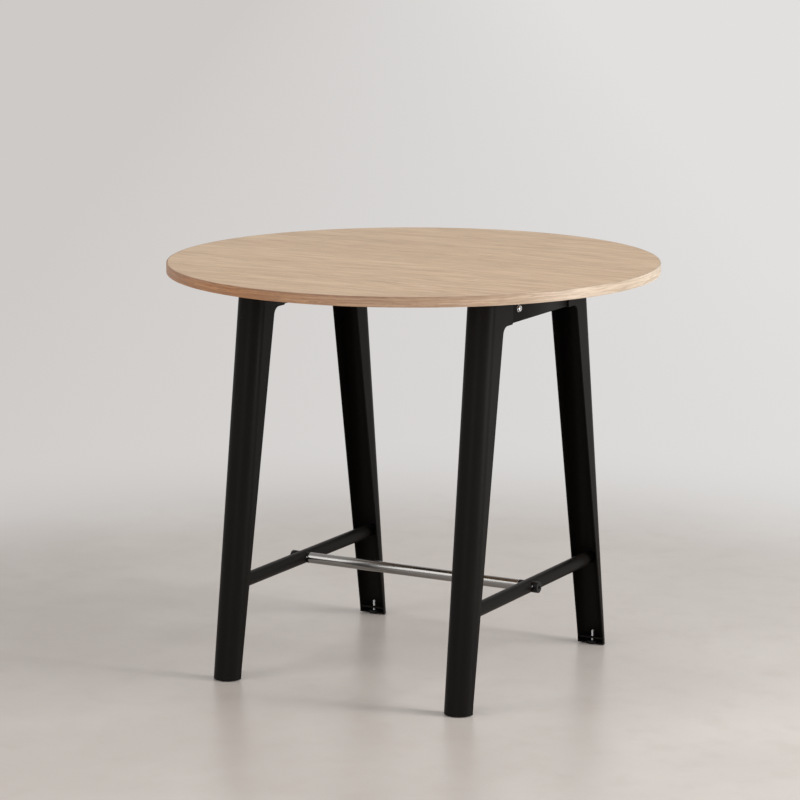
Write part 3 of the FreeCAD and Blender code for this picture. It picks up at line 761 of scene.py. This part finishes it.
def make_cross_tube(side):
    """Round loops about the tube's axis, out along its outer face and back along its bore.  A loop
    lies at the same share of the way to the inside of the nose all round, so the ends are coped."""
    t = full_turn(72)[None]
    between = np.linspace(-0.99, 0.99, 12)
    share = np.concatenate([[-1, -1, -1], between, [1, 1, 1]])
    trim = TUBE_END_GAP + np.concatenate([TUBE_END_TRIM, 0 * between, TUBE_END_TRIM[::-1]])
    inset = np.concatenate([TUBE_END_INSET, 0 * between, TUBE_END_INSET[::-1]])
    radius = np.concatenate([TUBE_RADIUS - inset, (TUBE_RADIUS - TUBE_WALL + inset)[::-1]])[:, None]
    share = np.concatenate([share, share[::-1]])[:, None]
    trim = np.concatenate([trim, trim[::-1]])[:, None]
    x, z = TUBE_X + radius * np.cos(t), TUBE_Z + radius * np.sin(t)
    loops = np.stack([side * x, share * (inside_nose(x, z) - trim), z], 2)
    return outward(loops.reshape(-1, 3), [grid_quads(*loops.shape[:2], wrap_rows=True)])


def weld_bead(side, end):
    """A bead round the end of a cross tube, where it meets the inside of a nose.  Its middle line
    is the tube's edge there.  Its cross-section is a small circle whose radius ripples round the
    line, half sunk into the tube and the nose."""
    t = full_turn(180)[:, None]
    a = full_turn(12)[None]
    x, z = TUBE_X + TUBE_RADIUS * np.cos(t), TUBE_Z + TUBE_RADIUS * np.sin(t)
    y = inside_nose(x, z)
    size = (WELD_SIZE + WELD_RIPPLE * np.abs(np.sin(WELD_RIPPLES * t))
            + WELD_DRIFT * np.sin(WELD_DRIFTS * t + end))
    loops = np.stack([side * (x + size * np.cos(a) * np.cos(t)), end * (y - size * np.sin(a)),
                      z + size * np.cos(a) * np.sin(t)], 2)
    return outward(loops.reshape(-1, 3), [grid_quads(*loops.shape[:2], wrap_rows=True)])


for side_name, side in SIDES.items():
    piece("folded_beam_" + side_name, [make_beam(side)], "frame", "black_powder_coat",
          "top_beam_" + side_name)
    piece("coped_tube_" + side_name, [make_cross_tube(side)], "frame", "black_powder_coat",
          "cross_tube_" + side_name)
    piece("tube_welds_" + side_name, [weld_bead(side, end) for end in ENDS.values()], "frame",
          "black_powder_coat")


# ---- screws, nuts and washers
def thread_between(low, high):
    """A screw thread between two distances along the axis.  Its depth below the nominal radius is a
    triangle wave of the distance, in pitches, less the share of a turn, with a flat crest.  It runs
    out evenly at both ends."""
    def grooves(distance, t):
        turns = (distance / THREAD_PITCH - t / (2 * np.pi)) % 1
        depth = np.clip(np.abs(2 * turns - 1) * THREAD_SLOPE - THREAD_CREST, 0, 1)
        inside = np.clip(np.minimum(distance - low, high - distance) / THREAD_RUN_OUT, 0, 1)
        return -THREAD_DEPTH * depth * inside
    return grooves


def ring_profile(low, high, inner, outer, edge):
    """The section of a flat ring with its outer and inner corners rounded."""
    return rounded([(low, inner), (low, outer), (high, outer), (high, inner)], [edge] * 4, steps=3)


def socket_head(face, head_radius, head_height, hex_radius, hex_depth, shank_radius, shank_end,
                chamfer, tip=0.6):
    """The profile of a socket screw: up from the floor of its hexagon, over the head's rounded rim,
    under the head and along the shank.  face is the head's face along the axis; the shank runs
    backwards to shank_end."""
    seat = face - head_height
    arc = np.linspace(0, np.pi / 2, 9)
    rim = [(face - chamfer * (1 - math.cos(a)), head_radius - chamfer * (1 - math.sin(a)), 0)
           for a in arc]
    floor = face - hex_depth
    cone = [(floor - HEX_CONE * hex_radius, CONE_TIP, 1), (floor, hex_radius, 1)]
    mouth = [(face - HEX_MOUTH, hex_radius, 1), (face, hex_radius + HEX_FLARE, 1),
             (face, hex_radius * HEX_RIM, 0)]
    under = [(seat + HEAD_UNDER_EDGE, head_radius, 0), (seat, head_radius - HEAD_UNDER_EDGE, 0)]
    rows = max(int((seat - shank_end) / (THREAD_PITCH / THREAD_ROWS)), 2)
    shank = [(d, shank_radius, 0) for d in np.linspace(seat - NECK_GAP, shank_end + tip, rows)]
    return cone + mouth + rim + under + shank + [(shank_end, shank_radius - tip, 0)]


def make_beam_fasteners():
    """Socket bolts across the beams' ends, each with two turned washers and a nut."""
    bolts, washers, nuts = [], [], []
    for side in SIDES.values():
        outward_axis = (side, 0, 0)
        seat = BEAM_HALF_WIDTH + WASHER_THICKNESS
        tail = -seat - NUT_HEIGHT - BOLT_TAIL
        for end in ENDS.values():
            middle = (side * BEAM_X, end * BOLT_Y, BOLT_Z)
            profile = socket_head(seat + BOLT_HEAD_HEIGHT, BOLT_HEAD_RADIUS, BOLT_HEAD_HEIGHT,
                                  BOLT_HEX, BOLT_HEX_DEPTH, BOLT_RADIUS, tail, BOLT_HEAD_ROUNDING)
            bolts.append(turned(profile, middle, outward_axis, 48,
                                grooves=thread_between(*(tail + d for d in BOLT_THREAD))))
            for low, high in ((BEAM_HALF_WIDTH, seat), (-seat, -BEAM_HALF_WIDTH)):
                outline = ring_profile(low, high, WASHER_BORE, WASHER_RADIUS, WASHER_EDGE)
                washers.append(turned_outline(outline, middle, outward_axis, 60))
            nuts.append(make_nut(middle, outward_axis, -seat - NUT_HEIGHT, -seat))
    piece("beam_socket_bolts", bolts, "frame", "zinc_steel", "beam_bolts")
    piece("beam_flat_washers", washers, "frame", "zinc_steel", "beam_washers")
    piece("beam_hex_nuts", nuts, "frame", "zinc_steel", "beam_nuts")


def make_nut(middle, axis, low, high):
    """A hexagon nut: bore, countersunk mouths, and a hexagon whose corners a cone cuts at each
    face.  The cone limits the radius to a little less than the flats' own, plus sqrt(3) times the
    depth."""
    bore, mouth, flat = BOLT_RADIUS + NUT_BORE_GAP, NUT_MOUTH, NUT_HEX
    depth = np.array(NUT_CHAMFER_ROWS)
    away = np.concatenate([low + depth, high - depth[::-1]])
    corner = flat / math.cos(math.pi / 6)
    cone = flat - NUT_CHAMFER + math.sqrt(3) * np.concatenate([depth, depth[::-1]])
    profile = np.concatenate([
        [(high - mouth, bore, 0), (low + mouth, bore, 0), (low, bore + mouth, 0)],
        np.stack([away, np.full(len(away), flat), np.ones(len(away))], 1),
        [(high, bore + mouth, 0)]])
    limit = np.concatenate([[flat, flat, flat], np.minimum(cone, corner), [flat]])[:, None]

    def corners(_, t):
        """How far the cone cuts into the hexagon."""
        hexagon = profile[:, 2:3]
        full = profile[:, 1:2] * (1 - hexagon + hexagon / np.cos(from_flat_middle(t)))
        return np.minimum(limit, full) - full
    return turned(profile, middle, axis, 72, closed=True, grooves=corners)


def make_top_fasteners():
    """Wood screws with low domed heads, and their washers, under the beams' crowns.  A dome's
    height falls by sqrt(1 - SCREW_DOME * share^2) as its radius grows by the share."""
    screws, washers = [], []
    seat = BEAM_SHEET + SCREW_WASHER_THICKNESS
    face = seat + SCREW_HEAD_HEIGHT
    for side in SIDES.values():
        for y in SCREW_PLACES:
            start = (side * BEAM_X, y, UNDERSIDE_Z)
            arc = np.linspace(0.25, 1, 6)
            dome = [(seat + SCREW_HEAD_HEIGHT * math.sqrt(1 - SCREW_DOME * a * a),
                     SCREW_HEAD_RADIUS * a, 0) for a in arc]
            shank = [(d, SCREW_RADIUS, 0)
                     for d in np.linspace(seat - NECK_GAP, SCREW_TIP - SCREW_BITE, 90)]
            hexagon = [(face - SCREW_HEX_FLOOR, CONE_TIP, 1),
                       (face - SCREW_HEX_DEPTH, SCREW_HEX, 1),
                       (face - SCREW_HEX_MOUTH, SCREW_HEX, 1)]
            profile = (hexagon + dome[1:] + [(seat, SCREW_HEAD_RADIUS - SCREW_UNDER_EDGE, 0)]
                       + shank + [(-SCREW_BITE, SCREW_TIP_RADIUS, 0)])
            screws.append(turned(profile, start, DOWN, 36,
                                 grooves=thread_between(SCREW_TIP - SCREW_BITE, 0)))
            outline = ring_profile(BEAM_SHEET, seat, SCREW_WASHER_BORE, SCREW_WASHER_RADIUS,
                                   SCREW_WASHER_EDGE)
            washers.append(turned_outline(outline, start, DOWN, 48))
    piece("domed_wood_screws", screws, "frame", "zinc_steel", "top_screws")
    piece("wood_screw_washers", washers, "frame", "zinc_steel", "top_washers")


make_beam_fasteners()
make_top_fasteners()


# ---- foot bar
def make_foot_bar():
    """The bar and its two sockets are turned outlines with small rounded edges, so a fine line
    shows where they meet.  A long socket screw closes each end."""
    reach, bore = TUBE_X - SOCKET_REACH, BAR_RADIUS - BAR_WALL
    bar = rounded([(-reach, bore), (-reach, BAR_RADIUS), (reach, BAR_RADIUS), (reach, bore)],
                  [BAR_BORE_EDGE, BAR_EDGE, BAR_EDGE, BAR_BORE_EDGE], steps=3)
    piece("brushed_foot_bar", [turned_outline(bar, (0, 0, TUBE_Z), (1, 0, 0), 96)], "frame",
          "brushed_stainless", "foot_bar")
    for side_name, side in SIDES.items():
        start, axis = (side * TUBE_X, 0, TUBE_Z), (side, 0, 0)
        outline = ring_profile(-SOCKET_REACH, SOCKET_REACH, SOCKET_BORE, BAR_RADIUS, SOCKET_EDGE)
        piece("bar_end_socket_" + side_name, [turned_outline(outline, start, axis, 96)], "frame",
              "black_powder_coat", "bar_socket_" + side_name)
        profile = socket_head(SOCKET_REACH + END_SCREW_HEIGHT, END_SCREW_HEAD, END_SCREW_HEIGHT,
                              END_SCREW_HEX, END_SCREW_HEX_DEPTH, END_SCREW_SHANK,
                              -SOCKET_REACH - END_SCREW_BITE, END_SCREW_ROUNDING)
        cap_screw = turned(profile, start, axis, 96, grooves=thread_between(*END_SCREW_THREAD))
        piece("bar_cap_screw_" + side_name, [cap_screw], "frame", "black_oxide",
              "bar_end_screw_" + side_name)
    locks = []
    tilt = math.radians(LOCK_SCREW_TILT)
    for side in SIDES.values():
        for turn in (-1, 1):
            seat = (side * TUBE_X - turn * LOCK_SCREW_OFFSET, 0, TUBE_Z)
            direction = (0, turn * math.cos(tilt), math.sin(tilt))
            profile = socket_head(
                BAR_RADIUS + LOCK_SCREW_RISE, LOCK_SCREW_RADIUS, LOCK_SCREW_HEIGHT, LOCK_SCREW_HEX,
                LOCK_SCREW_HEX_DEPTH, LOCK_SCREW_RADIUS - LOCK_SCREW_STEP,
                END_SCREW_SHANK + LOCK_SCREW_GAP, LOCK_SCREW_ROUNDING, LOCK_SCREW_TIP)
            locks.append(turned(profile, seat, direction, 36))
    piece("socket_lock_screws", locks, "frame", "zinc_steel", "bar_lock_screws")


make_foot_bar()


# ---- levelling glides
def make_glides():
    """A threaded stud with a hexagon socket in its top end, in a round moulded pad whose underside
    has two shallow ring grooves."""
    for side_name, side in SIDES.items():
        for end_name, end in ENDS.items():
            corner = end_name + "_" + side_name
            foot = (side * GLIDE_X, end * GLIDE_Y, 0)
            crest = STUD_TOP - STUD_CHAMFER
            rows = np.linspace(crest, STUD_LOW,
                               int((STUD_TOP - STUD_LOW) / THREAD_PITCH * THREAD_ROWS))
            hexagon = [(STUD_TOP - STUD_HEX_FLOOR, CONE_TIP, 1),
                       (STUD_TOP - STUD_HEX_DEPTH, STUD_HEX, 1),
                       (STUD_TOP - STUD_HEX_MOUTH, STUD_HEX, 1),
                       (STUD_TOP, STUD_HEX + STUD_HEX_FLARE, 1)]
            profile = (hexagon + [(STUD_TOP, STUD_RADIUS - STUD_CHAMFER, 0)]
                       + [(z, STUD_RADIUS, 0) for z in rows])
            stud = turned(profile, foot, UP, 48, grooves=thread_between(STUD_THREAD_LOW, crest))
            piece("levelling_stud_" + corner, [stud], "screw_" + corner, "zinc_steel",
                  "glide_stud_" + corner)
            shell = rounded([(0, PAD_RADIUS), (PAD_HEIGHT, PAD_RADIUS), (PAD_HEIGHT, PAD_BORE),
                             (PAD_FLOOR, PAD_BORE)], PAD_ROUNDING, steps=6)
            pad = turned_outline(np.concatenate([PAD_GROOVES, shell]), foot, UP, 96, closed=False)
            piece("moulded_pad_" + corner, [pad], "foot_" + corner, "pad_plastic",
                  "glide_pad_" + corner)


make_glides()


# ---- floor, lamps, camera
FLOOR_LIT_DIRECTION = (0.876, 0.483, 0.0)  # where the floor is painted palest: painted light from the lamps' side
FLOOR_RINGS = [250, 500, 1000, 2000, 4000, 8000, 20000, 60000, 150000]  # radii
FLOOR_SEGMENTS = 96
SKY_LIGHT, SKY_SEEN = (0.57, 0.57, 0.57), (0.70, 0.69, 0.68)
CAMERA_PLACE = (3.31416, -6.07324, 1.90609)
CAMERA_DIP, CAMERA_TURN = 10.6464, 28.8716  # degrees below the level, and about Z


def make_floor():
    """A level disc, faintly clouded near the table.  With distance its colour becomes that of a
    plain pale background, which shines by itself where a camera or a mirror sees it.  Near and
    far, its colour is painted paler towards the lamps' side, as painted light."""
    floor = Finish("pale_floor", Roughness=0.32, Specular_IOR_Level=0.42)
    flat = floor.scaled((1, 1, 0))
    away = floor.node("VectorMath", {"operation": "LENGTH"})
    floor.put(away.inputs[0], flat)
    # painted light: 0 on the dim side of the floor, 1 on the side towards the lamps
    right = floor.spread(floor.along(flat, FLOOR_LIT_DIRECTION), -1.6, 1.6)
    cloud = floor.noise(floor.object_place, scale=1.7, detail=5.0, roughness=0.6)
    fine = floor.noise(floor.object_place, scale=11.0, detail=4.0, roughness=0.6)
    near = floor.blend((0.462, 0.412, 0.372), (0.568, 0.526, 0.492), right)
    near = floor.blend(near, (0.66, 0.62, 0.58), floor.spread(cloud, 0.42, 0.75, 0.0, 0.45))
    near = floor.blend(near, (0.43, 0.375, 0.33), floor.spread(fine, 0.50, 0.78, 0.0, 0.32))
    far = floor.blend((0.615, 0.590, 0.575), (0.755, 0.745, 0.735), right)
    share = floor.spread(away.outputs["Value"], 1.25, 2.6)
    share.node.interpolation_type = "SMOOTHSTEP"
    colour = floor.blend(near, far, share)
    floor.finish(Base_Color=colour, Normal=floor.bump(fine, 0.04, 0.001))
    mix = floor.node("MixShader")
    floor.put(mix.inputs[0], floor.sum_up("MULTIPLY", share, floor.seen_directly()))
    floor.put(mix.inputs[1], floor.shader.outputs[0])
    floor.put(mix.inputs[2], floor.node("Emission", Color=far).outputs[0])
    floor.put(floor.tree.nodes["Material Output"].inputs["Surface"], mix.outputs[0])
    turn, ring = full_turn(FLOOR_SEGMENTS), np.arange(FLOOR_SEGMENTS)
    rings = np.array(FLOOR_RINGS)[:, None, None]
    points = (rings * np.stack([np.cos(turn), np.sin(turn), 0 * turn], 1)).reshape(-1, 3)
    points = np.concatenate([points, [[0, 0, 0]]]) * MM
    centre = np.stack([np.full(len(ring), len(points) - 1), ring, (ring + 1) % len(ring)], 1)
    faces = grid_quads(len(rings), len(ring))[:, ::-1].tolist() + centre.tolist()
    mesh = bpy.data.meshes.new("floor")
    mesh.from_pydata(points.tolist(), [], faces)
    mesh.materials.append(floor.material)
    made = bpy.data.objects.new("floor", mesh)
    bpy.context.scene.collection.objects.link(made)


def make_world():
    """Even pale light from all round.  A camera or a mirror sees a paler background."""
    world = bpy.data.worlds.new("studio")
    bpy.context.scene.world = world
    world.use_nodes = True
    sky = Nodes(world.node_tree)
    background = sky.tree.nodes["Background"]
    background.inputs["Strength"].default_value = 1.0
    sky.put(background.inputs["Color"], sky.blend(SKY_LIGHT, SKY_SEEN, sky.seen_directly()))


def make_lamp(name, place, target, width, height, power):
    """A rectangular soft lamp that points at a target and stays out of sight."""
    lamp = bpy.data.lights.new(name, "AREA")
    lamp.shape = "RECTANGLE"
    lamp.size, lamp.size_y = width, height
    lamp.energy = power
    made = bpy.data.objects.new(name, lamp)
    made.location = place
    made.rotation_euler = (Vector(target) - Vector(place)).to_track_quat("-Z", "Y").to_euler()
    made.visible_camera = False
    bpy.context.scene.collection.objects.link(made)


def make_camera():
    """A long lens in front of the table, to its right and a little above its top."""
    camera = bpy.data.cameras.new("camera")
    camera.sensor_width = 36.0
    camera.lens = 140.983
    camera.clip_end = 200.0
    made = bpy.data.objects.new("camera", camera)
    made.location = CAMERA_PLACE
    made.rotation_euler = Euler((math.radians(90 - CAMERA_DIP), 0, math.radians(CAMERA_TURN)))
    bpy.context.scene.collection.objects.link(made)
    bpy.context.scene.camera = made


make_floor()
make_world()
make_lamp("window", (5.8, 1.1, 4.3), (0, 0, 0.6), 3.4, 3.4, 272.0)
make_lamp("tall_softbox", (-1.9, -2.7, 2.6), (0, 0, 0.2), 1.2, 3.4, 30.0)
make_lamp("side_softbox", (3.0, 0.33, 0.95), (0.3, -0.4, 0.75), 0.4, 1.2, 34.0)
make_lamp("front_softbox", (0.3, -3.9, 1.2), (0.1, -0.3, 0.5), 1.6, 1.4, 21.0)
make_camera()
bpy.context.scene.view_settings.view_transform = "Standard"
